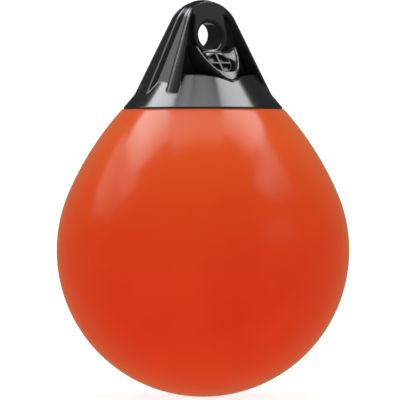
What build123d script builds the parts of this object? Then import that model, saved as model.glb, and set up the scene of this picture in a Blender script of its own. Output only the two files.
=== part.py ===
from build123d import *
import math
import os

os.makedirs("parts", exist_ok=True)

# Inflated body, in millimetres; heights are over the ball's centre until the last step
BODY_DIAMETER = 290.0
SHOULDER_ANGLE = 23.6
SHOULDER_RADIUS = 306.0
SEAM_DIAMETER = 159.4
SKIN = 3.0
DRAUGHT = 54.0

# Lap joint between the body's neck and the cap's skirt
LAP_WALL = 5.0
LAP_LENGTH = 20.0
NECK_WALL = 4.0
NECK_RUN = 20.0
BOND = 0.3

# Rope-hold cap, its heights over the seam
CAP_HEIGHT = 107.4
CROWN_RADIUS = 35.3
CROWN_SOLID = 8.4
WAIST_INSET = 11.9
SKIRT_ANGLE = 40.5
WEB_THICKNESS = 19.0
FIN_FOOT_INNER = 48.8
FIN_FOOT_OUTER = 62.0
FIN_EYE_INNER = 53.3
FIN_EYE_OUTER = 61.0
BOSS_LENGTH = 32.0
BOSS_RADIUS = 18.8
BOSS_TOP_WIDTH = 31.0
BOSS_LEAN = 9.0
FLANGE_FLARE = 33.0
BORE_RADIUS = 12.9
BORE_RIM = 4.0
CEILING_OVER_NECK = 3.0

# Recess between the fins, down to the web
RECESS_MIDDLE = 26.5
RECESS_KNEE = 26.5
RECESS_KNEE_HEIGHT = 35.8
RECESS_SIDE = 32.4
RECESS_KNEE_ROUND = 8.0

# Inflation valve, its axis square to the skirt
VALVE_HEIGHT = 49.0
POCKET_DEPTH = 9.5
WELL_DEPTH = 4.3
SLEEVE_FLANGE_RADIUS = 10.4
SLEEVE_FLANGE = 2.0
SLEEVE_RADIUS = 8.0
SLEEVE_LENGTH = 15.0
SLEEVE_BORE = 5.6
AIR_BORE = 3.5
PLUG_HEAD_RADIUS = 13.0
PLUG_HEAD = 5.5
PLUG_EDGE = 0.9
PLUG_GAP = 0.8
PLUG_RIM = 1.7
PLUG_RIB = 2.6
PLUG_POCKET = 3.6
PLUG_SHANK = 11.0
RUN_CLEARANCE = 0.3

# Hood round the valve, heights from the valve's own, and its sloped pocket measured along the pocket's floor
HOOD_HALF_WIDTH = 23.2
HOOD_WIDE = 16.0
HOOD_TOP = 14.0
HOOD_TIP = 22.0
HOOD_TIP_HALF_WIDTH = 4.0
HOOD_FOOT = 25.0
HOOD_ANGLE = 34.4
POCKET_HALF_WIDTH = 13.0
POCKET_WIDE = 25.0
POCKET_TIP = 15.0
POCKET_TIP_HALF_WIDTH = 2.0
POCKET_SLOPE = 50.0

BALL = BODY_DIAMETER / 2
LIFT = BALL - DRAUGHT
FAR = BODY_DIAMETER

def polar(radius, degrees, centre=(0.0, 0.0)):
    angle = math.radians(degrees)
    return (centre[0] + radius * math.cos(angle), centre[1] + radius * math.sin(angle))

def along(point, direction, distance):
    return (point[0] + direction[0] * distance, point[1] + direction[1] * distance)

def spun(edges):
    return revolve(Plane.XZ * make_face(Curve() + edges), Axis.Z)

def spun_polygon(points):
    return spun([Polyline(points, close=True)])

def mirrored(points):
    return points + [(-x, y) for x, y in reversed(points)]

def tangent(degrees):
    return math.tan(math.radians(degrees))

# Body outline: a ball with a flatter tangent shoulder, ending at the seam
shoulder_centre = polar(BALL - SHOULDER_RADIUS, SHOULDER_ANGLE)
seam_radius = SEAM_DIAMETER / 2
seam_angle = math.degrees(math.acos((seam_radius - shoulder_centre[0]) / SHOULDER_RADIUS))
seam = polar(SHOULDER_RADIUS, seam_angle, shoulder_centre)
seam_height = seam[1]
middle_angle = (SHOULDER_ANGLE + seam_angle) / 2

# Directions on the skirt's outline: up its slope, and out of its surface
up = (-math.sin(math.radians(SKIRT_ANGLE)), math.cos(math.radians(SKIRT_ANGLE)))
out = (math.cos(math.radians(SKIRT_ANGLE)), math.sin(math.radians(SKIRT_ANGLE)))
skirt_apex = seam_height + seam_radius / tangent(SKIRT_ANGLE)

# Shell: skin of the body with its neck stepped in below the skirt
neck_foot = along(seam, out, -LAP_WALL - BOND)
neck_top = along(neck_foot, up, LAP_LENGTH)
neck_lip = along(neck_top, out, -NECK_WALL)
inner_angle = seam_angle - math.degrees(NECK_RUN / SHOULDER_RADIUS)
inner_start = polar(SHOULDER_RADIUS - SKIN, inner_angle, shoulder_centre)
inner_middle = polar(SHOULDER_RADIUS - SKIN, (SHOULDER_ANGLE + inner_angle) / 2, shoulder_centre)
inner_tangent = polar(BALL - SKIN, SHOULDER_ANGLE)
shell_outline = [
    ThreePointArc((0, -BALL), polar(BALL, (SHOULDER_ANGLE - 90) / 2), polar(BALL, SHOULDER_ANGLE)),
    ThreePointArc(polar(BALL, SHOULDER_ANGLE), polar(SHOULDER_RADIUS, middle_angle, shoulder_centre), seam),
    Polyline(seam, neck_foot, neck_top, neck_lip, inner_start),
    ThreePointArc(inner_start, inner_middle, inner_tangent),
    ThreePointArc(inner_tangent, polar(BALL - SKIN, (SHOULDER_ANGLE - 90) / 2), (0, SKIN - BALL)),
    Line((0, SKIN - BALL), (0, -BALL)),
]
shell = spun(shell_outline)

# Cap envelope: round crown and the steep cone that touches it and meets the skirt at the waist
cap_top = seam_height + CAP_HEIGHT
eye = cap_top - CROWN_RADIUS
waist_radius = seam_radius - WAIST_INSET
waist_height = seam_height + WAIST_INSET / tangent(SKIRT_ANGLE)
waist_reach = math.hypot(waist_radius, eye - waist_height)
cap_half_angle = math.degrees(math.acos(CROWN_RADIUS / waist_reach) - math.atan2(eye - waist_height, waist_radius))
crown_end = polar(CROWN_RADIUS, cap_half_angle, (0, eye))

def cap_radius(height):
    return crown_end[0] + (crown_end[1] - height) * tangent(cap_half_angle)

def skirt_radius(height):
    return (skirt_apex - height) * tangent(SKIRT_ANGLE)

skirt_foot = along(seam, up, BOND)
envelope = spun([
    Line((0, seam_height), (cap_radius(seam_height), seam_height)),
    Line((cap_radius(seam_height), seam_height), crown_end),
    ThreePointArc(crown_end, polar(CROWN_RADIUS, (cap_half_angle + 90) / 2, (0, eye)), (0, cap_top)),
    Line((0, cap_top), (0, seam_height)),
])
skirt_inside = along(skirt_foot, out, -LAP_WALL)
skirt = spun_polygon([(0, skirt_inside[1]), skirt_inside, skirt_foot, (0, skirt_apex)])
hollow_top = along(skirt_inside, up, LAP_LENGTH + CEILING_OVER_NECK)
hollow = spun_polygon([(0, 0), (skirt_inside[0] - up[0] * LAP_WALL, 0), along(skirt_inside, up, -LAP_WALL),
                       hollow_top, (0, hollow_top[1])])

# Flange: a fin up each side and an arch over the crown, given by the fins' angles at the waist and at the eye
def fin_point(foot_angle, eye_angle, height):
    foot = waist_radius * math.sin(math.radians(foot_angle))
    head = cap_radius(eye) * math.sin(math.radians(eye_angle))
    return foot + (head - foot) * (height - waist_height) / (eye - waist_height)

# Area under an arch: straight sides from the seam, and a circle on the axis that touches them and a top height
def arched(foot_angle, eye_angle, top):
    half = fin_point(foot_angle, eye_angle, seam_height)
    lean = math.degrees(math.atan2(half - fin_point(foot_angle, eye_angle, cap_top), cap_top - seam_height))
    reach = half * math.cos(math.radians(lean)) - (top - seam_height) * math.sin(math.radians(lean))
    radius = reach / (1 - math.sin(math.radians(lean)))
    end = polar(radius, lean, (0, top - radius))
    return make_face(Curve() + [
        Polyline((-end[0], end[1]), (-half, seam_height), (half, seam_height), end),
        ThreePointArc(end, (0, top), (-end[0], end[1])),
    ])

def fin_inside(height):
    return fin_point(FIN_FOOT_INNER, FIN_EYE_INNER, height)

under_flange = arched(FIN_FOOT_INNER, FIN_EYE_INNER, cap_top - CROWN_SOLID)
over_flange = arched(FIN_FOOT_OUTER, FIN_EYE_OUTER, cap_top)
web = Pos(0, 0, cap_top) * Box(2 * FAR, WEB_THICKNESS, 2 * cap_top)

# Front and back of the eye's boss and the crown: faces that lean together to the top and flare out to the fins
def boss_faces(height):
    half = BOSS_LENGTH / 2 + (eye - height) * tangent(BOSS_LEAN)
    wide = half + (FAR - BOSS_RADIUS) * tangent(FLANGE_FLARE)
    corners = mirrored([(FAR, -wide), (BOSS_RADIUS, -half)]) + mirrored([(-FAR, wide), (-BOSS_RADIUS, half)])
    return Plane.XY.offset(height) * make_face(Polyline(corners, close=True))

front_and_back = loft([boss_faces(seam_height), boss_faces(cap_top)], ruled=True)

# Upright outline: the flange, and the eye's boss hanging from its crown
boss_outline = make_hull([
    *(Pos(0, eye) * Circle(BOSS_RADIUS)).edges(),
    Line((-BOSS_TOP_WIDTH / 2, cap_top), (BOSS_TOP_WIDTH / 2, cap_top)),
])
upright_outline = over_flange & (boss_outline + (over_flange - under_flange))
uprights = extrude(Plane.XZ * upright_outline, FAR, both=True) & front_and_back & envelope

# Rope eye: what is taken out of the boss by a bore with rounded mouths
eye_ring = uprights - Pos(0, 0, eye) * Rot(X=90) * Cylinder(BORE_RADIUS, 2 * FAR)
eye_rims = eye_ring.edges().filter_by(lambda edge: edge.is_closed)
eye_bore = uprights - fillet(eye_rims, BORE_RIM)

# Recesses between the fins, front and back, down to the web
side_floor = seam_height + RECESS_SIDE
knee = (RECESS_KNEE, seam_height + RECESS_KNEE_HEIGHT)
recess_outline = make_face(Polyline(
    [(0, seam_height + RECESS_MIDDLE)]
    + mirrored([knee, (fin_inside(side_floor), side_floor), (fin_inside(cap_top), cap_top)]), close=True))
knees = recess_outline.vertices().filter_by(lambda v: abs(abs(v.X) - RECESS_KNEE) < BOND)
recess_outline = fillet(knees, RECESS_KNEE_ROUND)
recess_front = extrude(Plane.XZ.offset(WEB_THICKNESS / 2) * recess_outline, FAR)
recess_back = extrude(Plane.XZ.offset(-WEB_THICKNESS / 2) * recess_outline, -FAR)

# A blunt pointed arch, point down: straight sides, tip, and the bends between them
def arch(half, wide, tip_half, tip):
    head = wide + FAR / 4
    drop = wide - tip
    lean = half - tip_half
    radius = (lean ** 2 + drop ** 2) / (2 * lean)
    bend = polar(radius, -math.degrees(math.asin(drop / radius)) / 2, (half - radius, wide))
    return make_face(Curve() + [
        Polyline((-half, wide), (-half, head), (half, head), (half, wide)),
        ThreePointArc((half, wide), bend, (tip_half, tip)),
        Line((tip_half, tip), (-tip_half, tip)),
        ThreePointArc((-tip_half, tip), (-bend[0], bend[1]), (-half, wide)),
    ])

# Hood: the arch standing out of the skirt up to a steeper cone that leaves the skirt at the hood's foot
valve_height = seam_height + VALVE_HEIGHT
hood_foot = valve_height - HOOD_FOOT
hood_top = valve_height + HOOD_TOP
hood_apex = hood_foot + skirt_radius(hood_foot) / tangent(HOOD_ANGLE)
hood_outline = arch(HOOD_HALF_WIDTH, valve_height + HOOD_WIDE, HOOD_TIP_HALF_WIDTH, valve_height - HOOD_TIP)
hood_cone = spun_polygon([(0, hood_foot), (skirt_radius(hood_foot), hood_foot), (0, hood_apex)])
hood = extrude(Plane.XZ * hood_outline, FAR) & hood_cone & Pos(0, 0, hood_top - FAR) * Box(FAR, FAR, 2 * FAR)

# Pocket in the hood: flat floor along the skirt's slope, walls leaning outwards
valve_plane = Plane(origin=(0, -skirt_radius(valve_height), valve_height), x_dir=(1, 0, 0),
                    z_dir=(0, -out[0], out[1]))
floor_plane = valve_plane.offset(-POCKET_DEPTH)
pocket_reach = 2 * POCKET_DEPTH

def pocket_outline(level):
    grown = level * tangent(POCKET_SLOPE)
    face = arch(POCKET_HALF_WIDTH + grown, POCKET_WIDE, POCKET_TIP_HALF_WIDTH, -POCKET_TIP - grown)
    return floor_plane.offset(level) * face

pocket = loft([pocket_outline(0), pocket_outline(pocket_reach)], ruled=True)

# Holes for the valve: well of the plug's head, sleeve seat and the air way into the body
well_plane = floor_plane.offset(-WELL_DEPTH)
well = well_plane * Pos(0, 0, FAR / 2) * Cylinder(PLUG_HEAD_RADIUS + PLUG_GAP, FAR)
sleeve_hole = well_plane * Pos(0, 0, -SLEEVE_LENGTH / 2) * Cylinder(SLEEVE_RADIUS + BOND, SLEEVE_LENGTH)
air_way = well_plane * Pos(0, 0, -FAR / 4) * Cylinder(AIR_BORE, FAR / 2)

cap = skirt - recess_front - recess_back
cap = cap + hood - pocket
cap = cap + (envelope & web) + uprights
cap = cap - hollow - eye_bore - well - sleeve_hole - air_way

# Valve sleeve: flanged bush pushed into the floor of the well
sleeve = Pos(0, 0, SLEEVE_FLANGE / 2) * Cylinder(SLEEVE_FLANGE_RADIUS, SLEEVE_FLANGE)
sleeve = sleeve + Pos(0, 0, -SLEEVE_LENGTH / 2 + BOND) * Cylinder(SLEEVE_RADIUS, SLEEVE_LENGTH - 2 * BOND)
sleeve = sleeve - Cylinder(SLEEVE_BORE, 2 * FAR)
sleeve = well_plane * sleeve

# Valve plug: screw-in stopper, its head cored out to a rim and a cross of ribs
head_low = SLEEVE_FLANGE + RUN_CLEARANCE
head_top = head_low + PLUG_HEAD
core = Circle(PLUG_HEAD_RADIUS - PLUG_RIM)
core = core - Rectangle(PLUG_RIB, FAR) - Rectangle(FAR, PLUG_RIB)
plug = Pos(0, 0, head_low + PLUG_HEAD / 2) * Cylinder(PLUG_HEAD_RADIUS, PLUG_HEAD)
plug = fillet(plug.edges().filter_by(GeomType.CIRCLE), PLUG_EDGE)
plug = plug + Pos(0, 0, head_low - PLUG_SHANK / 2) * Cylinder(SLEEVE_BORE - RUN_CLEARANCE, PLUG_SHANK)
plug = plug - Pos(0, 0, head_top - PLUG_POCKET) * extrude(core, FAR)
plug = well_plane * plug

# Everything moves up so that zero is the waterline
for name, shape in (("body_shell", shell), ("rope_hold_cap", cap), ("valve_sleeve", sleeve), ("valve_plug", plug)):
    export_step(Pos(0, 0, LIFT) * shape, f"parts/{name}.step")
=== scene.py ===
import math

import bpy
import numpy as np
from mathutils import Matrix


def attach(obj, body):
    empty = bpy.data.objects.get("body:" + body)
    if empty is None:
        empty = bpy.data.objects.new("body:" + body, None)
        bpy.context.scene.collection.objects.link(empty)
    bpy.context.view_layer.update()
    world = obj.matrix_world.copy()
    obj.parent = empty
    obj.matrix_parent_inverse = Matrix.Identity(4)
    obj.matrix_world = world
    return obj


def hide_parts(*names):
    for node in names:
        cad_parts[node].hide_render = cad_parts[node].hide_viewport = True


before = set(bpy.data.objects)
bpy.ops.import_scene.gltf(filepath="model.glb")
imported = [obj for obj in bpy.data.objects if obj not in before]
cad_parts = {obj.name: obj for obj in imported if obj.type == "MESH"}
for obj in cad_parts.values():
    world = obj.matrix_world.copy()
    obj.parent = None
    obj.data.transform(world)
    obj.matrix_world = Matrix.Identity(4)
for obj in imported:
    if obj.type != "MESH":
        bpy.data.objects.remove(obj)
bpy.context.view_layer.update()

# Inflated body, in millimetres; heights are over the ball's centre until the pieces are lifted
BALL = 145.0
DRAUGHT = 54.0
SHOULDER_ANGLE = math.radians(23.6)
SHOULDER_RADIUS = 306.0
SEAM_RADIUS = 79.7
SKIN = 3.0
LAP_WALL = 5.0
LAP_LENGTH = 20.0
NECK_WALL = 4.0
NECK_RUN = 20.0
BOND = 0.3

# Rope-hold cap, its heights over the seam
CAP_HEIGHT = 107.4
CROWN_RADIUS = 35.3
CROWN_SOLID = 8.4
WAIST_INSET = 11.9
SKIRT_ANGLE = math.radians(40.5)
WEB_THICKNESS = 19.0
WEB_TAPER = 0.04
FIN_FOOT_INNER = math.radians(48.8)
FIN_FOOT_OUTER = math.radians(62.0)
FIN_EYE_INNER = math.radians(49.0)
FIN_EYE_OUTER = math.radians(61.0)
FIN_DRAFT = math.radians(14.0)
FIN_STRIP = 3.6
FIN_STEP = 1.7
FLANGE_FLARE = math.radians(33.0)
BOSS_LENGTH = 32.0
BOSS_RADIUS = 18.8
BOSS_TOP_WIDTH = 31.0
BOSS_LEAN = math.radians(9.0)
BORE_RADIUS = 12.9
BORE_RIM = 4.0
CEILING_OVER_NECK = 3.0
RECESS_MIDDLE = 26.5
RECESS_KNEE = 26.5
RECESS_KNEE_HEIGHT = 35.8
RECESS_SIDE = 32.4
RECESS_KNEE_ROUND = 8.0

# Inflation valve, its axis square to the skirt
VALVE_HEIGHT = 49.0
WELL_DEPTH = 4.3
SLEEVE_FLANGE_RADIUS = 10.4
SLEEVE_FLANGE = 2.0
SLEEVE_RADIUS = 8.0
SLEEVE_LENGTH = 15.0
SLEEVE_BORE = 5.6
AIR_BORE = 3.5
PLUG_HEAD_RADIUS = 13.0
PLUG_HEAD = 5.5
PLUG_GAP = 0.8
PLUG_RIM = 1.7
PLUG_RIB = 2.6
PLUG_POCKET = 3.6
PLUG_SHANK = 11.0
RUN_CLEARANCE = 0.3

# Hood round the valve, heights from the valve's own, and its pocket measured along the pocket's floor
HOOD_HALF_WIDTH = 23.2
HOOD_WIDE = 16.0
HOOD_TOP = 14.0
HOOD_TOP_FALL = 0.8
HOOD_TOP_DROP = 6.5
HOOD_TIP = 22.0
HOOD_TIP_HALF_WIDTH = 4.0
HOOD_FOOT = 25.0
HOOD_ANGLE = math.radians(34.4)
POCKET_DEPTH = 9.5
POCKET_HALF_WIDTH = 11.0
POCKET_WIDE = 25.0
POCKET_TIP = 15.0
POCKET_TIP_HALF_WIDTH = 2.0
POCKET_TIP_LEAN = 0.12
POCKET_SLOPE = math.radians(50.0)

# Roundings of the moulded edges and corners
EDGE_ROUND = 1.6
INNER_ROUND = 1.2
CROWN_ROUND = 2.4
WEB_ROUND = 5.0
TIP_ROUND = 3.5
LIP_ROUND = 1.3
FOOT_ROUND = 2.0
FINE_ROUND = 0.5
STRIP_ROUND = 1.1

# How faces meet at an edge: cosines between their normals, and how far a recess runs into its walls
SQUARE = 0.0
NEARLY_FLAT = 0.8
BLUNT = 0.6
LEANING = -0.35
WEDGE = -0.7
OVERLAP = 1.5

# Fineness of the meshes: grids and their room in millimetres, points along the shell's outline, and turns
CAP_GRID = 1.08
CAP_SIDE_ROOM = 3.0
CAP_FOOT_ROOM = 6.0
CAP_TOP_ROOM = 2.0
VALVE_GRID = 0.45
VALVE_LOW = (-15.0, -52.0, 150.0)
VALVE_HIGH = (15.0, -2.0, 205.0)
BALL_POINTS = 96
SHOULDER_POINTS = 56
RIM_POINTS = 6
INNER_SHOULDER_POINTS = 12
INNER_BALL_POINTS = 40
SHELL_TURNS = 224

# Vinyl: heights in metres about which its painted light turns (colour paler away from a middle height,
# standing in for light on the shoulder), noise in grains to the metre
PAINTED_LIGHT_MIDDLE = 0.035
PAINTED_LIGHT_REACH = 0.155
PAINTED_LIGHT_ENDS = 0.75
DRIFT = 0.3
DRIFT_START = 0.03
DRIFT_GRAINS = 14.0
GLOSS_GRAINS = 60.0
NOISE_MIDDLE = 0.5
PEEL_STRENGTH = 0.16
PEEL_HEIGHT = 0.0001

# Photograph's framing: a 400 pixel square, the object's axis right of its middle
MM = 0.001
FRAME_PIXELS = 400
PIXEL = 0.9916 * MM
AXIS_PIXEL = 203.0
CENTRE_PIXEL = 250.36
VIEW_AZIMUTH = math.radians(-30.0)
VIEW_ELEVATION = math.radians(1.0)
CAMERA_DISTANCE = 4.0
CAMERA_REACH = 200.0
CAMERA_SENSOR = 36.0

# Stage, in metres: places of the lights run towards the camera, to the right and up from the body's middle
FLOOR_HALF = 30.0
CARD_PLACE = (1.41, 2.55, 0.75)
FILL_PLACE = (1.6, -2.4, 2.0)
PATCH_PLACE = (-1.05, -0.02, MM - BALL * MM)

# Level panels overhead: left, right, back and front edges in panel heights over the body, and brightness
PANEL_HEIGHT = 1.6
PANELS = {
    "left_near": (-0.90, -0.42, -0.50, 0.08, 8.0),
    "left_front": (-0.90, -0.42, 0.08, 0.27, 5.0),
    "left_join": (-1.06, -0.90, -0.45, 0.25, 5.0),
    "left_far": (-2.20, -1.06, -0.75, -0.08, 1.6),
    "left_far_front": (-1.45, -1.06, -0.08, 0.40, 2.2),
    "left_end": (-3.00, -2.20, -0.75, -0.08, 1.1),
    "left_end_front": (-3.00, -1.45, -0.08, 0.40, 1.0),
    "right_near": (0.25, 0.80, -0.30, 0.12, 7.4),
    "right_front": (0.25, 0.72, 0.12, 0.30, 4.6),
    "right_far": (0.80, 1.15, -0.10, 0.60, 2.6),
    "right_end": (1.15, 1.50, -0.10, 0.60, 1.1),
    "between_left": (-0.42, -0.20, 0.06, 0.42, 3.2),
    "between": (-0.20, 0.25, 0.14, 0.42, 3.2),
}

# Brightness of the room to the camera, to matt surfaces and in gloss
ROOM_SEEN = 1.05
ROOM_MATT = 0.86
ROOM_GLOSS = 0.05

# Points of the outline where ball, shoulder, skirt and crown meet
LIFT = BALL - DRAUGHT
SHOULDER_MIDDLE = np.array([math.cos(SHOULDER_ANGLE), math.sin(SHOULDER_ANGLE)]) * (BALL - SHOULDER_RADIUS)
SEAM_ANGLE = math.acos((SEAM_RADIUS - SHOULDER_MIDDLE[0]) / SHOULDER_RADIUS)
SEAM_HEIGHT = SHOULDER_MIDDLE[1] + SHOULDER_RADIUS * math.sin(SEAM_ANGLE)
SEAM = np.array([SEAM_RADIUS, SEAM_HEIGHT])
UP = np.array([-math.sin(SKIRT_ANGLE), math.cos(SKIRT_ANGLE)])
OUT = np.array([math.cos(SKIRT_ANGLE), math.sin(SKIRT_ANGLE)])
CAP_TOP = SEAM_HEIGHT + CAP_HEIGHT
EYE = CAP_TOP - CROWN_RADIUS
WAIST_RADIUS = SEAM_RADIUS - WAIST_INSET
WAIST_HEIGHT = SEAM_HEIGHT + WAIST_INSET / math.tan(SKIRT_ANGLE)
CAP_HALF_ANGLE = (math.acos(CROWN_RADIUS / math.hypot(WAIST_RADIUS, EYE - WAIST_HEIGHT))
                  - math.atan2(EYE - WAIST_HEIGHT, WAIST_RADIUS))
EYE_REACH = CROWN_RADIUS / math.cos(CAP_HALF_ANGLE)
VALVE_LEVEL = SEAM_HEIGHT + VALVE_HEIGHT


# Meshes


def new_piece(name, points, faces, body, normals=None):
    """Put an array of points in millimetres and its faces into a smooth mesh that rides on a body."""
    mesh = bpy.data.meshes.new(name)
    places = (np.asarray(points, dtype=float) + np.array([0, 0, LIFT])) * MM
    mesh.from_pydata(places.tolist(), [], faces)
    mesh.polygons.foreach_set("use_smooth", np.ones(len(mesh.polygons), dtype=bool))
    mesh.update()
    if normals is not None:
        mesh.normals_split_custom_set_from_vertices(normals.tolist())
    piece = bpy.data.objects.new(name, mesh)
    bpy.context.scene.collection.objects.link(piece)
    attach(piece, body)
    return piece


def spin(outline, turns):
    """Points and faces of an outline turned about the axis: ring i is (r cos t, r sin t, z) of its point i.

    The outline runs counter-clockwise in the (r, z) half-plane from pole to pole, so faces look outwards.
    """
    angle = np.linspace(0, 2 * math.pi, turns, endpoint=False)
    rings = outline[1:-1]
    ring_points = np.stack([np.outer(rings[:, 0], np.cos(angle)), np.outer(rings[:, 0], np.sin(angle)),
                            np.repeat(rings[:, 1:], turns, axis=1)], axis=-1).reshape(-1, 3)
    poles = np.array([[0, 0, outline[0, 1]], [0, 0, outline[-1, 1]]])
    points = np.concatenate([ring_points, poles])
    here = np.arange(turns)
    after = (here + 1) % turns
    row = np.arange(len(rings) - 1)[:, None] * turns
    quads = np.stack([row + here, row + after, row + turns + after, row + turns + here], axis=-1)
    first, last = len(ring_points), len(ring_points) + 1
    end = (len(rings) - 1) * turns
    caps = np.concatenate([np.stack([np.full(turns, first), after, here], axis=-1),
                           np.stack([np.full(turns, last), end + here, end + after], axis=-1)])
    return points, quads.reshape(-1, 4).tolist() + caps.tolist()


def slope_of(field, points, nudge):
    """Slope of a field at points, from its change over a small step each way."""
    return np.stack([field(*(points + nudge * row).T) - field(*(points - nudge * row).T)
                     for row in np.eye(3)], axis=-1) / (2 * nudge)


def skin(field, low, high, step):
    """Mesh the surface where a signed distance field is zero, by surface nets on a cubic grid.

    A cell that the surface crosses holds one point, the mean of the crossings on its edges, which then
    slides along the field's slope onto the surface. Each grid edge that the surface crosses joins the four
    cells round it. Gives the points, the faces and the field's normals at the points.
    """
    slides, slide_nudge, normal_nudge, least_slope = 4, step * 0.2, step * 0.1, 0.5
    axes = [np.arange(a, b + step, step) for a, b in zip(low, high)]
    value = field(*np.meshgrid(*axes, indexing="ij"))
    inside = value < 0
    count = [n - 1 for n in value.shape]
    corners = [(i, j, k) for i in (0, 1) for j in (0, 1) for k in (0, 1)]
    shifted = [inside[tuple(slice(s, s + n) for s, n in zip(corner, count))] for corner in corners]
    total = sum(corner.astype(np.int8) for corner in shifted)
    cells = np.argwhere((total > 0) & (total < len(corners)))
    number = np.full(count, -1, dtype=np.int64)
    number[tuple(cells.T)] = np.arange(len(cells))
    spread = np.zeros((len(cells), 3))
    hits = np.zeros(len(cells))
    for start in corners:
        for axis in range(3):
            if start[axis]:
                continue
            finish = tuple(s + (a == axis) for a, s in enumerate(start))
            near = value[tuple((cells + start).T)]
            far = value[tuple((cells + finish).T)]
            crossed = (near < 0) != (far < 0)
            share = np.where(crossed, near / np.where(crossed, near - far, 1), 0)
            spread += (np.array(start) + share[:, None] * np.eye(3)[axis]) * crossed[:, None]
            hits += crossed
    points = np.array(low) + (cells + spread / hits[:, None]) * step
    for _ in range(slides):
        slope = slope_of(field, points, slide_nudge)
        square = np.maximum((slope ** 2).sum(axis=1), least_slope ** 2)
        move = field(*points.T)[:, None] * slope / square[:, None]
        points = points - np.clip(move, -step / 2, step / 2)
    faces = []
    for axis in range(3):
        ahead = np.moveaxis(inside, axis, 0)
        edge = np.argwhere(np.moveaxis(ahead[:-1] != ahead[1:], 0, axis))
        leaves = inside[tuple(edge.T)]
        side_a, side_b = np.eye(3, dtype=int)[(axis + 1) % 3], np.eye(3, dtype=int)[(axis + 2) % 3]
        quad = np.stack([number[tuple((edge - move).T)]
                         for move in (side_a + side_b, side_b, 0 * side_a, side_a)], axis=-1)
        faces.append(np.where(leaves[:, None], quad, quad[:, ::-1]))
    normals = slope_of(field, points, normal_nudge)
    normals /= np.linalg.norm(normals, axis=1)[:, None]
    return points, np.concatenate(faces).tolist(), normals


def round_max(a, b, radius, facing=SQUARE):
    """Larger of two distances, with the convex edge where they are equal rounded to a radius.

    Facing is the cosine between the two faces' normals: below zero at a sharp wedge, above it at a blunt
    one. Next to the edge the distance is that to the edge of both faces sunk by the radius, less the radius.
    """
    sunk_a, sunk_b = a + radius, b + radius
    near = (sunk_a > facing * sunk_b) & (sunk_b > facing * sunk_a)
    square = (sunk_a ** 2 + sunk_b ** 2 - 2 * facing * sunk_a * sunk_b) / (1 - facing ** 2)
    return np.where(near, np.sqrt(np.maximum(square, 0)) - radius, np.maximum(a, b))


def round_min(a, b, radius, facing=SQUARE):
    """Smaller of two distances, with the inner corner where they are equal filled to a radius."""
    return -round_max(-a, -b, radius, facing)


# Outline of the inflated shell


def arc(middle, radius, start, finish, count):
    """Points on a circle from one angle to another."""
    angle = np.linspace(start, finish, count)
    return np.stack([middle[0] + radius * np.cos(angle), middle[1] + radius * np.sin(angle)], axis=-1)


def shell_outline():
    """Outline of the shell in (r, z): ball, tangent shoulder, rounded rim, neck, and back inside."""
    ball = arc((0, 0), BALL, -math.pi / 2, SHOULDER_ANGLE, BALL_POINTS)
    shoulder_end = SEAM_ANGLE - LIP_ROUND / SHOULDER_RADIUS
    shoulder = arc(SHOULDER_MIDDLE, SHOULDER_RADIUS, SHOULDER_ANGLE, shoulder_end, SHOULDER_POINTS)[1:]
    rim_middle = SEAM - (OUT + UP) * LIP_ROUND
    rim = arc(rim_middle, LIP_ROUND, SKIRT_ANGLE, SKIRT_ANGLE + math.pi / 2, RIM_POINTS)
    neck_foot = SEAM - OUT * (LAP_WALL + BOND)
    neck_top = neck_foot + UP * LAP_LENGTH
    neck_lip = neck_top - OUT * NECK_WALL
    inner_angle = SEAM_ANGLE - NECK_RUN / SHOULDER_RADIUS
    inner_shoulder = arc(SHOULDER_MIDDLE, SHOULDER_RADIUS - SKIN, inner_angle, SHOULDER_ANGLE,
                         INNER_SHOULDER_POINTS)
    inner_ball = arc((0, 0), BALL - SKIN, SHOULDER_ANGLE, -math.pi / 2, INNER_BALL_POINTS)[1:]
    neck = [neck_foot, neck_top, neck_lip]
    return np.concatenate([ball, shoulder, rim, neck, inner_shoulder, inner_ball])


# Signed distances of the rope-hold cap


def touching(radius, across, along, slope):
    """Distances to a circle and to its tangent line whose normal rises at an angle, and what lies above."""
    line = across * math.cos(slope) + along * math.sin(slope) - radius
    circle = np.hypot(across, along) - radius
    return line, circle, along * math.cos(slope) > across * math.sin(slope)


def fin_line(foot_angle, eye_angle):
    """A fin's edge at the waist and its lean for each unit up, from its angles at the waist and the eye."""
    foot = WAIST_RADIUS * math.sin(foot_angle)
    head = EYE_REACH * math.sin(eye_angle)
    return foot, (foot - head) / (EYE - WAIST_HEIGHT)


def arched(foot_angle, eye_angle, top, across, z):
    """Distance to the area under an arch: a fin's edge each side, and the circle that touches both."""
    foot, lean = fin_line(foot_angle, eye_angle)
    angle = math.atan(lean)
    reach = foot * math.cos(angle) - (top - WAIST_HEIGHT) * math.sin(angle)
    radius = reach / (1 - math.sin(angle))
    line, circle, above = touching(radius, across, z - top + radius, angle)
    return np.where(above, circle, line)


def arch(across, up, half, wide, tip_half, tip):
    """Distance to a blunt pointed arch, point down: straight sides over arcs that bend in to the tip."""
    lean = half - tip_half
    radius = (lean ** 2 + (wide - tip) ** 2) / (2 * lean)
    side = np.where(up < wide, np.hypot(across - half + radius, up - wide) - radius, across - half)
    return round_max(side, tip - up, TIP_ROUND)


def recess_field(across, z, inside_fin, web):
    """Distance to the recesses: over a floor that peaks at its knees, and a little into fins and web."""
    knee_height = SEAM_HEIGHT + RECESS_KNEE_HEIGHT
    rise = (RECESS_KNEE_HEIGHT - RECESS_MIDDLE) / RECESS_KNEE
    fall = (RECESS_KNEE_HEIGHT - RECESS_SIDE) / (WAIST_RADIUS * math.sin(FIN_FOOT_INNER) - RECESS_KNEE)
    over_rise = (z - knee_height - rise * (across - RECESS_KNEE)) / math.hypot(1, rise)
    over_fall = (z - knee_height + fall * (across - RECESS_KNEE)) / math.hypot(1, fall)
    floor = -round_max(over_rise, over_fall, RECESS_KNEE_ROUND)
    return np.maximum(np.maximum(floor, inside_fin - OVERLAP), -web - OVERLAP)


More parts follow.
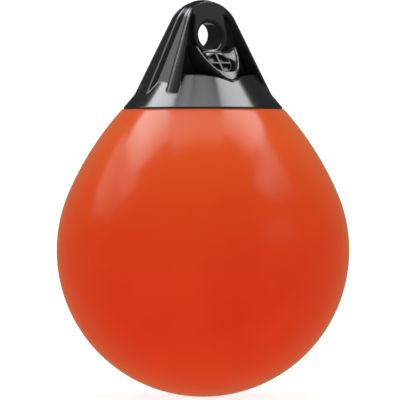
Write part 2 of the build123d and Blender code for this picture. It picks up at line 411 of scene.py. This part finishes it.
def boss_field(across, up):
    """Distance to the eye's boss from the front: a circle, and sides that touch it and run to the top."""
    half = BOSS_TOP_WIDTH / 2
    lean = math.atan2(CROWN_RADIUS, half) - math.acos(BOSS_RADIUS / math.hypot(half, CROWN_RADIUS))
    line, circle, above = touching(BOSS_RADIUS, across, up, lean)
    return np.where(above, line, circle)


def flange_side(across, depth, z):
    """Distance to the flange's outer side: the outer arch along a strip at its front edges, then a wall.

    Behind the strip the wall is set in by the step, and leans out towards the web by the draft.
    """
    foot, lean = fin_line(FIN_FOOT_OUTER, FIN_EYE_OUTER)
    head = foot - lean * (EYE - WAIST_HEIGHT)
    foot_depth = math.sqrt(WAIST_RADIUS ** 2 - foot ** 2)
    head_depth = math.sqrt(EYE_REACH ** 2 - head ** 2)
    edge_depth = foot_depth + (head_depth - foot_depth) * (z - WAIST_HEIGHT) / (EYE - WAIST_HEIGHT)
    strip = arched(FIN_FOOT_OUTER, FIN_EYE_OUTER, CAP_TOP, across, z)
    behind = edge_depth - depth - FIN_STRIP
    wall = (strip + FIN_STEP) * math.cos(FIN_DRAFT) - behind * math.sin(FIN_DRAFT)
    return round_min(round_max(strip, behind, STRIP_ROUND), wall, STRIP_ROUND)


def upright_field(x, y, z, web):
    """Distance to the web, and to the flange of fins and crown with the eye's boss, inside an envelope.

    The envelope is a round crown on a cone. The flange lies between an inner arch and its outer side. Its
    front follows the envelope on the fins, and the leaning, flaring faces on the boss and crown.
    """
    across, up, depth = np.abs(x), z - EYE, np.abs(y)
    line, circle, above = touching(CROWN_RADIUS, np.hypot(x, y), up, CAP_HALF_ANGLE)
    envelope = np.where(above, circle, line)
    under = arched(FIN_FOOT_INNER, FIN_EYE_INNER, CAP_TOP - CROWN_SOLID, across, z)
    flare = np.maximum(across - BOSS_RADIUS, 0) * math.tan(FLANGE_FLARE)
    face = (depth - BOSS_LENGTH / 2 - flare) * math.cos(BOSS_LEAN) + up * math.sin(BOSS_LEAN)
    front = round_max(face, envelope, EDGE_ROUND, NEARLY_FLAT)
    facing = np.where(across > BOSS_RADIUS, WEDGE, SQUARE)
    inner = round_max(round_min(boss_field(across, up), -under, CROWN_ROUND), front, EDGE_ROUND, facing)
    flange = round_max(inner, flange_side(across, depth, z), EDGE_ROUND, BLUNT)
    return round_min(round_max(web, envelope, WEB_ROUND), flange, INNER_ROUND)


def hood_field(across, radius, y, z):
    """Distance to the hood: a pointed arch out to a cone steeper than the skirt, under a dropped top."""
    foot_height = VALVE_LEVEL - HOOD_FOOT
    foot_radius = SEAM_RADIUS - (foot_height - SEAM_HEIGHT) * math.tan(SKIRT_ANGLE)
    cone = (radius - foot_radius) * math.cos(HOOD_ANGLE) + (z - foot_height) * math.sin(HOOD_ANGLE)
    hood = arch(across, z, HOOD_HALF_WIDTH, VALVE_LEVEL + HOOD_WIDE, HOOD_TIP_HALF_WIDTH,
                VALVE_LEVEL - HOOD_TIP)
    hood = round_max(hood, cone, LIP_ROUND, np.where(z < VALVE_LEVEL, LEANING, SQUARE))
    drop = np.clip((HOOD_HALF_WIDTH - across) * HOOD_TOP_FALL, 0, HOOD_TOP_DROP)
    over_top = (z - VALVE_LEVEL - HOOD_TOP + drop) / math.hypot(1, HOOD_TOP_FALL)
    return round_max(hood, np.maximum(over_top, y), LIP_ROUND)


def pocket_field(across, slide, level):
    """Distance to the hood's pocket: a pointed arch over a flat floor that grows with the height over it."""
    grown = np.maximum(level, 0) * math.tan(POCKET_SLOPE)
    tip_half = POCKET_TIP_HALF_WIDTH + grown / 2
    tip = -POCKET_TIP - grown * POCKET_TIP_LEAN
    pocket = arch(across, slide, POCKET_HALF_WIDTH + grown, POCKET_WIDE, tip_half, tip)
    return round_max(pocket * math.cos(POCKET_SLOPE), -level, INNER_ROUND)


def cap_field(x, y, z):
    """Distance to the cap: skirt, hood and uprights, less recesses, pocket, eye, valve seat and hollow."""
    across = np.abs(x)
    radius = np.hypot(x, y)
    web = np.abs(y) - WEB_THICKNESS / 2 + np.maximum(z - WAIST_HEIGHT, 0) * WEB_TAPER
    inside_fin = arched(FIN_FOOT_INNER, FIN_EYE_INNER, CAP_TOP, across, z)
    skirt = (radius - SEAM_RADIUS) * OUT[0] + (z - SEAM_HEIGHT) * OUT[1]
    cap = round_max(skirt, -recess_field(across, z, inside_fin, web), EDGE_ROUND)
    # Hood with its pocket, then the uprights with the rope eye
    _, slide, level = valve_frame(x, y, z)
    cap = round_min(cap, hood_field(across, radius, y, z), LIP_ROUND)
    cap = round_max(cap, -pocket_field(across, slide, level), LIP_ROUND, LEANING)
    cap = round_min(cap, upright_field(x, y, z, web), INNER_ROUND, BLUNT)
    cap = round_max(cap, BORE_RADIUS - np.hypot(x, z - EYE), BORE_RIM)
    # Well of the plug, seat of the sleeve and the air way
    ring = np.hypot(x, slide)
    well = np.maximum(ring - PLUG_HEAD_RADIUS - PLUG_GAP, -level - WELL_DEPTH)
    cap = round_max(cap, -well, FINE_ROUND)
    seat = np.maximum(ring - SLEEVE_RADIUS - BOND, -level - WELL_DEPTH - SLEEVE_LENGTH)
    cap = np.maximum(cap, -np.minimum(seat, np.maximum(ring - AIR_BORE, level)))
    # Foot of the skirt, and the hollow over the shell's neck
    foot = BOND - (radius - SEAM_RADIUS) * UP[0] - (z - SEAM_HEIGHT) * UP[1]
    ceiling = SEAM_HEIGHT + UP[1] * (BOND + LAP_LENGTH + CEILING_OVER_NECK) - OUT[1] * LAP_WALL
    return np.maximum(round_max(cap, foot, FOOT_ROUND), -np.maximum(skirt + LAP_WALL, z - ceiling))


# Signed distances of the valve


def valve_frame(x, y, z):
    """Coordinates on the valve: across, up along the pocket's floor, and out of it along the plug's axis."""
    front = SEAM_RADIUS - VALVE_HEIGHT * math.tan(SKIRT_ANGLE)
    forward, rise = -y - front, z - VALVE_LEVEL
    return x, rise * OUT[0] - forward * OUT[1], forward * OUT[0] + rise * OUT[1] + POCKET_DEPTH


def between(level, low, high):
    """Distance to a slab between two levels."""
    return np.abs(level - (low + high) / 2) - (high - low) / 2


def plug_field(x, y, z):
    """Distance to the plug: a round head cored out to a rim and a cross of ribs, on a shank."""
    across, slide, level = valve_frame(x, y, z)
    radius = np.hypot(across, slide)
    low = SLEEVE_FLANGE + RUN_CLEARANCE - WELL_DEPTH
    high = low + PLUG_HEAD
    head = round_max(radius - PLUG_HEAD_RADIUS, between(level, low, high), LIP_ROUND)
    ribs = PLUG_RIB / 2 - np.minimum(np.abs(across), np.abs(slide))
    core = round_max(radius - PLUG_HEAD_RADIUS + PLUG_RIM, ribs, INNER_ROUND)
    head = round_max(head, -round_max(core, high - PLUG_POCKET - level, FINE_ROUND), FINE_ROUND)
    shank = np.maximum(radius - SLEEVE_BORE + RUN_CLEARANCE, between(level, low - PLUG_SHANK, low))
    return np.minimum(head, shank)


def sleeve_field(x, y, z):
    """Distance to the sleeve: a flanged bush with a round bore."""
    across, slide, level = valve_frame(x, y, z)
    radius = np.hypot(across, slide)
    over_well = level + WELL_DEPTH
    flange = round_max(radius - SLEEVE_FLANGE_RADIUS, between(over_well, 0, SLEEVE_FLANGE), FINE_ROUND)
    barrel = np.maximum(radius - SLEEVE_RADIUS, between(over_well, BOND - SLEEVE_LENGTH, 0))
    return np.maximum(np.minimum(flange, barrel), SLEEVE_BORE - radius)


# Materials


class Wire:
    """An output in a material's node tree; arithmetic on it adds Math nodes."""

    def __init__(self, tree, socket):
        self.tree = tree
        self.socket = socket

    def node(self, kind, settings=None, sockets=None, out=0):
        """Add a node: its settings first, then values or wires for its inputs."""
        made = self.tree.nodes.new(kind)
        for name, value in (settings or {}).items():
            setattr(made, name, value)
        for key, value in (sockets or {}).items():
            if isinstance(value, Wire):
                self.tree.links.new(value.socket, made.inputs[key])
            else:
                made.inputs[key].default_value = value
        return Wire(self.tree, made.outputs[out])

    def maths(self, operation, first, second):
        """Add a Math node on two values or wires."""
        return self.node("ShaderNodeMath", {"operation": operation}, {0: first, 1: second})

    def __add__(self, other):
        return self.maths("ADD", self, other)

    __radd__ = __add__

    def __mul__(self, other):
        return self.maths("MULTIPLY", self, other)

    __rmul__ = __mul__

    def __sub__(self, other):
        return self.maths("SUBTRACT", self, other)

    def __rsub__(self, other):
        return self.maths("SUBTRACT", other, self)


def new_finish(name, constants):
    """A new material and its shader, with the shader's constant inputs set by name."""
    material = bpy.data.materials.new(name)
    material.use_nodes = True
    shader = material.node_tree.nodes["Principled BSDF"]
    for key, value in constants.items():
        shader.inputs[key].default_value = value
    return material, shader


def noise(place, grains, detail):
    """Soft noise between 0 and 1 at a number of grains to the metre."""
    return place.node("ShaderNodeTexNoise", {"noise_dimensions": "3D"},
                      {"Vector": place, "Scale": grains, "Detail": detail})


def vinyl(name, deep, pale, roughness, uneven, peel_grains, constants):
    """Moulded vinyl: deep round a middle height and paler to both ends, by the square of the distance; this
    paling is painted light, the brighter lit shoulder put into the colour.

    A slow drift varies the shade, finer noise makes the gloss uneven, and the finest is a faint orange peel.
    """
    material, shader = new_finish(name, constants)
    start = Wire(material.node_tree, None)
    place = start.node("ShaderNodeTexCoord", out="Object")
    height = start.node("ShaderNodeSeparateXYZ", sockets={0: place}, out="Z")
    # Painted light: the colour pales with the square of the height off the middle height, standing in for
    # the lit shoulder; the noise drift is the vinyl's own random tone
    off = (height - PAINTED_LIGHT_MIDDLE) * (1 / PAINTED_LIGHT_REACH)
    painted_light_and_drift = off * off * PAINTED_LIGHT_ENDS + noise(place, DRIFT_GRAINS, detail=3.0) * DRIFT - DRIFT_START
    tint = start.node("ShaderNodeMix", {"data_type": "RGBA"}, {0: painted_light_and_drift, 6: deep, 7: pale}, out=2)
    gloss = roughness + (noise(place, GLOSS_GRAINS, detail=4.0) - NOISE_MIDDLE) * uneven
    peel = start.node("ShaderNodeBump", sockets={"Strength": PEEL_STRENGTH, "Distance": PEEL_HEIGHT,
                                                 "Height": noise(place, peel_grains, detail=2.0)})
    for wire, key in ((tint, "Base Color"), (gloss, "Roughness"), (peel, "Normal")):
        material.node_tree.links.new(wire.socket, shader.inputs[key])
    return material


# Deep is each vinyl's colour at the middle height; pale is the painted-light colour away from it
orange = vinyl("orange_vinyl", deep=(0.63, 0.0205, 0.0015, 1), pale=(0.80, 0.088, 0.011, 1),
               roughness=0.17, uneven=0.04, peel_grains=420.0, constants={
                   "Specular IOR Level": 0.24,
                   "Specular Tint": (0.2, 1.0, 0.95, 1),
                   "Sheen Weight": 0.56,
                   "Sheen Roughness": 0.4,
                   "Sheen Tint": (1.0, 0.4, 0.15, 1),
               })
black = vinyl("black_vinyl", deep=(0.014, 0.014, 0.016, 1), pale=(0.018, 0.018, 0.020, 1),
              roughness=0.16, uneven=0.06, peel_grains=700.0, constants={
                  "Specular IOR Level": 0.62,
                  "Specular Tint": (0.93, 0.95, 1.0, 1),
              })
satin = vinyl("valve_plastic", deep=(0.008, 0.008, 0.009, 1), pale=(0.014, 0.014, 0.015, 1),
              roughness=0.32, uneven=0.08, peel_grains=900.0, constants={"Specular IOR Level": 0.35})


# Pieces


def wear(piece, material, node):
    """Give a piece its only material, and let it stand for its solid."""
    piece.data.materials.clear()
    piece.data.materials.append(material)
    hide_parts(node)


def moulded(name, body, field, low, high, grid):
    """A new piece meshed from a signed distance field between two corners."""
    points, faces, normals = skin(field, low, high, grid)
    return new_piece(name, points, faces, body, normals)


shell_points, shell_faces = spin(shell_outline(), SHELL_TURNS)
wear(new_piece("shell_skin", shell_points, shell_faces, "buoy"), orange, "body_shell")
cap_reach = SEAM_RADIUS + CAP_SIDE_ROOM
cap_low = (-cap_reach, -cap_reach, SEAM_HEIGHT - CAP_FOOT_ROOM)
cap_high = (cap_reach, cap_reach, CAP_TOP + CAP_TOP_ROOM)
cap_skin = moulded("cap_skin", "buoy", cap_field, cap_low, cap_high, CAP_GRID)
wear(cap_skin, black, "rope_hold_cap")
plug_skin = moulded("plug_skin", "plug", plug_field, VALVE_LOW, VALVE_HIGH, VALVE_GRID)
wear(plug_skin, satin, "valve_plug")
sleeve_skin = moulded("sleeve_skin", "buoy", sleeve_field, VALVE_LOW, VALVE_HIGH, VALVE_GRID)
wear(sleeve_skin, satin, "valve_sleeve")


# Floor, light and camera


def sheet(name, corners, material):
    """One flat four-sided stage piece."""
    mesh = bpy.data.meshes.new(name)
    mesh.from_pydata([tuple(corner) for corner in corners], [], [(0, 1, 2, 3)])
    mesh.materials.append(material)
    piece = bpy.data.objects.new(name, mesh)
    bpy.context.scene.collection.objects.link(piece)
    return piece


def place_facing(obj, place, facing, along):
    """Place a camera or light: its -Z looks along facing, its Y lies as near as can be to another way."""
    z_axis = -np.asarray(facing, dtype=float) / np.linalg.norm(facing)
    y_axis = np.asarray(along, dtype=float) - z_axis * np.dot(along, z_axis)
    y_axis /= np.linalg.norm(y_axis)
    turn = Matrix(np.stack([np.cross(y_axis, z_axis), y_axis, z_axis], axis=-1).tolist())
    obj.matrix_world = Matrix.Translation(place.tolist()) @ turn.to_4x4()


def softbox(name, place, facing, along, width, length, radiance, shows):
    """A rectangular light of one brightness over its face, which either shows in gloss or only fills."""
    data = bpy.data.lights.new(name, "AREA")
    data.shape = "RECTANGLE"
    data.size, data.size_y = width, length
    data.energy = radiance * math.pi * width * length
    light = bpy.data.objects.new(name, data)
    light.visible_glossy = shows
    light.visible_diffuse = not shows
    bpy.context.scene.collection.objects.link(light)
    place_facing(light, place, facing, along)
    return light


# Directions of the view: to the right of the picture, up, and towards the camera
right = np.array([math.cos(VIEW_AZIMUTH), math.sin(VIEW_AZIMUTH), 0])
toward = np.array([math.sin(VIEW_AZIMUTH), -math.cos(VIEW_AZIMUTH), 0])
vertical = np.array([0, 0, 1.0])
back = toward * math.cos(VIEW_ELEVATION) + vertical * math.sin(VIEW_ELEVATION)
upward = np.cross(back, right)
middle = np.array([0, 0, LIFT * MM])
ways = np.stack([toward, right, vertical])

# Camera far off along the view, so that the picture's middle falls where the photograph's does
centre = middle + upward * (CENTRE_PIXEL - FRAME_PIXELS / 2) * PIXEL
centre = centre + right * (FRAME_PIXELS / 2 - AXIS_PIXEL) * PIXEL
camera_data = bpy.data.cameras.new("camera")
camera_data.sensor_width = CAMERA_SENSOR
camera_data.lens = CAMERA_SENSOR * CAMERA_DISTANCE / (FRAME_PIXELS * PIXEL)
camera_data.clip_end = CAMERA_REACH
camera = bpy.data.objects.new("camera", camera_data)
bpy.context.scene.collection.objects.link(camera)
place_facing(camera, centre + back * CAMERA_DISTANCE, -back, vertical)
bpy.context.scene.camera = camera

# Plain pale floor under the body's lowest point
floor_level = vertical * (-DRAUGHT * MM)
floor_pale, _ = new_finish("floor_pale", {
    "Base Color": (0.3, 0.3, 0.3, 1),
    "Roughness": 0.9,
    "Specular IOR Level": 0.1,
    "Emission Color": (1, 1, 1, 1),
    "Emission Strength": 0.84,
})
floor_corners = [floor_level + (toward * a + right * b) * FLOOR_HALF
                 for a, b in ((-1, -1), (1, -1), (1, 1), (-1, 1))]
floor = sheet("floor", floor_corners, floor_pale)
floor.visible_glossy = False

# Panels overhead, a card at the front right, a bright patch of floor behind, and a soft fill from the left
for name, (*edges, radiance) in PANELS.items():
    left_edge, right_edge, back_edge, front_edge = (edge * PANEL_HEIGHT for edge in edges)
    panel = right * (left_edge + right_edge) / 2 + toward * (back_edge + front_edge) / 2
    softbox(name, middle + vertical * PANEL_HEIGHT + panel, -vertical, toward, width=right_edge - left_edge,
            length=front_edge - back_edge, radiance=radiance, shows=True)
card = CARD_PLACE @ ways
softbox("card", middle + card, -card, vertical, width=1.6, length=0.9, radiance=0.4, shows=True)
patch = middle + PATCH_PLACE @ ways
ground = softbox("ground", patch, vertical, toward, width=0.36, length=1.1, radiance=0.4, shows=True)
ground.visible_camera = False
fill = FILL_PLACE @ ways
softbox("fill", middle + fill, -fill, vertical, width=2.4, length=2.2, radiance=0.3, shows=False)

# A room that is white to look at, dark in gloss, and soft all round on matt surfaces
world = bpy.data.worlds.new("studio")
world.use_nodes = True
room = Wire(world.node_tree, None)
seen = room.node("ShaderNodeLightPath", out="Is Camera Ray")
glossy = room.node("ShaderNodeLightPath", out="Is Glossy Ray")
strength = ROOM_MATT + seen * (ROOM_SEEN - ROOM_MATT) + glossy * (ROOM_GLOSS - ROOM_MATT)
background = world.node_tree.nodes["Background"]
background.inputs["Color"].default_value = (1, 1, 1, 1)
world.node_tree.links.new(strength.socket, background.inputs["Strength"])
bpy.context.scene.world = world
bpy.context.scene.view_settings.view_transform = "Standard"
